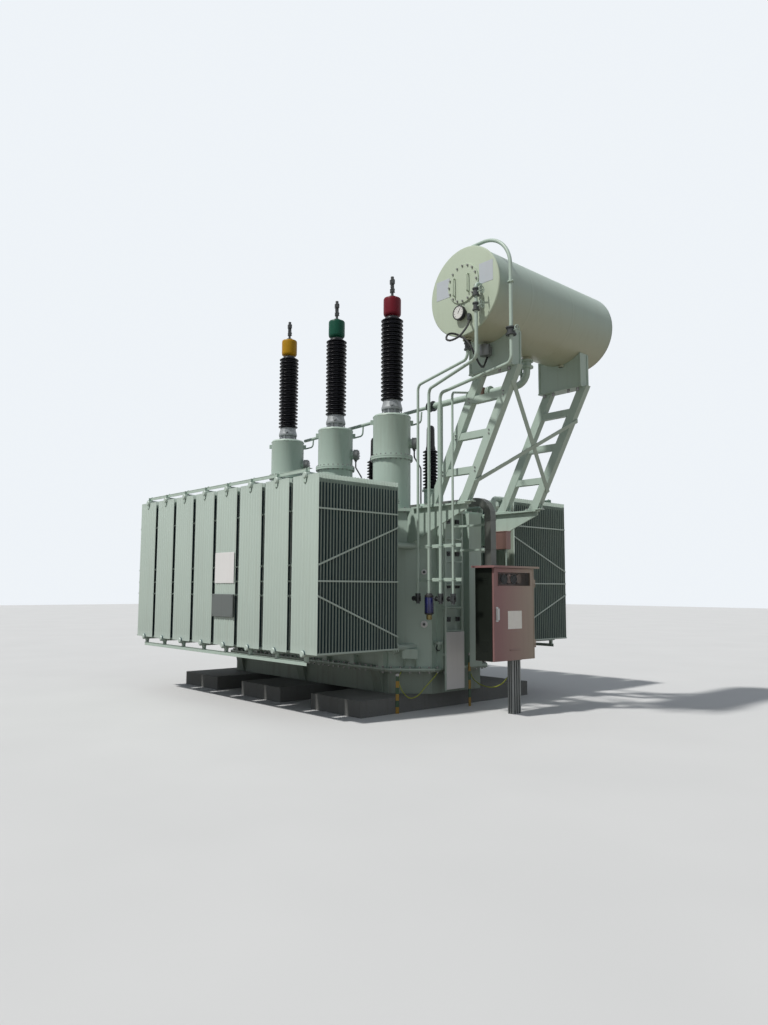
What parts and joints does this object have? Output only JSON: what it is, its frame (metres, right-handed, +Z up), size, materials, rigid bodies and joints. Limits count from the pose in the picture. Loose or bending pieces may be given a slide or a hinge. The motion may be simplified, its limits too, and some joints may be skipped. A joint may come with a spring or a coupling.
{
  "type": "oil-filled power transformer",
  "caption": "Outdoor oil-filled power transformer with panel radiator banks, turret bushings, a raised oil conservator, an end ladder and a hinged-door control cabinet.",
  "frame": {"origin": "on the floor under the middle of the tank, at the centre of the middle plinth's underside", "axes": "+Z up, +X along the tank to the end with the ladder, conservator and cabinet, -Y to the high voltage side"},
  "size_m": [6.6029, 4.83, 6.1558],
  "materials": {
    "paint": "weathered pale green-grey gloss paint",
    "concrete": "rough cast concrete",
    "porcelain": "glossy dark brown glaze",
    "cap_yellow": "satin yellow paint",
    "cap_green": "satin green paint",
    "cap_red": "satin red paint",
    "stainless": "brushed sheet steel",
    "window": "clear pane",
    "breather": "deep blue drying agent in a clear case",
    "galvanised": "dull galvanised steel"
  },
  "bodies": {
    "transformer": {"brace_down": "paint", "brace_up": "paint", "bracket_far": "paint", "bracket_near": "paint", "breather": "breather", "breather_pipe": "paint", "cabinet_body": "stainless", "cabinet_post": "galvanised", "cable_duct": "galvanised", "conservator_drum": "paint", "conservator_end": "paint", "fill_pipe": "paint", "frame_far": "paint", "frame_near": "paint", "gas_pipe": "paint", "hv_bottom_tie": "paint", "hv_bushing_a": "porcelain", "hv_bushing_b": "porcelain", "hv_bushing_c": "porcelain", "hv_cap_a": "cap_yellow", "hv_cap_b": "cap_green", "hv_cap_c": "cap_red", "hv_radiator_1": "paint", "hv_radiator_2": "paint", "hv_radiator_3": "paint", "hv_radiator_4": "paint", "hv_radiator_5": "paint", "hv_radiator_6": "paint", "hv_radiator_7": "paint", "hv_radiator_8": "paint", "hv_top_tie": "paint", "hv_turret_a": "paint", "hv_turret_b": "paint", "hv_turret_c": "paint", "ladder": "paint", "lv_bottom_tie": "paint", "lv_bushing_a": "porcelain", "lv_bushing_b": "porcelain", "lv_bushing_c": "porcelain", "lv_radiator_1": "paint", "lv_radiator_2": "paint", "lv_radiator_3": "paint", "lv_radiator_4": "paint", "lv_radiator_5": "paint", "lv_radiator_6": "paint", "lv_radiator_7": "paint", "lv_radiator_8": "paint", "lv_top_tie": "paint", "main_oil_pipe": "paint", "plinth_far": "concrete", "plinth_middle": "concrete", "plinth_near": "concrete", "sampling_pipe": "paint", "tank_bell": "paint", "tank_cover": "paint", "tank_trough": "paint", "vent_pipe": "paint"},
    "door": {"cabinet_door": "stainless", "door_window": "window"}
  },
  "joints": [
    {"name": "door_hinge", "type": "hinge", "parent": "transformer", "child": "door", "pos_m": [3.3, 0.365, 1.24], "axis": [0, 0, 1], "range_deg": [0, 110]}
  ]
}
